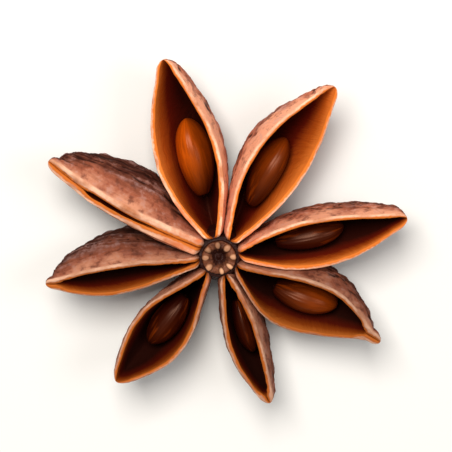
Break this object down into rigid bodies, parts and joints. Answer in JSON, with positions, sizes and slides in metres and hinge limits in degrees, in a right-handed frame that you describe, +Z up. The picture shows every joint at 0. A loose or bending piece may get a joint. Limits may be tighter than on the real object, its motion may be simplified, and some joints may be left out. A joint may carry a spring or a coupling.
{
  "type": "star anise pod",
  "caption": "Dried star-shaped spice pod: woody boat-shaped carpels round a short column, most split open along the top with a glossy seed inside.",
  "frame": {"origin": "on the column's axis, at the level that the pod rests on, in the middle of the stalk stub's flat end", "axes": "+Z up along the column, out of the open mouths; +X and +Y lie in the plane of the star, 13 degrees clockwise of the right-hand carpel and 15 degrees clockwise of the longest one"},
  "size_m": [0.0345, 0.0336, 0.0083],
  "materials": {
    "husk": "dried woody husk, wrinkled and matt outside, smooth and glossy inside",
    "seed": "polished red-brown seed coat"
  },
  "bodies": {
    "root": {"husk": "husk", "seed_right": "seed", "seed_upper_right": "seed", "seed_top": "seed", "seed_lower_left": "seed", "seed_bottom": "seed", "seed_lower_right": "seed"}
  },
  "joints": []
}
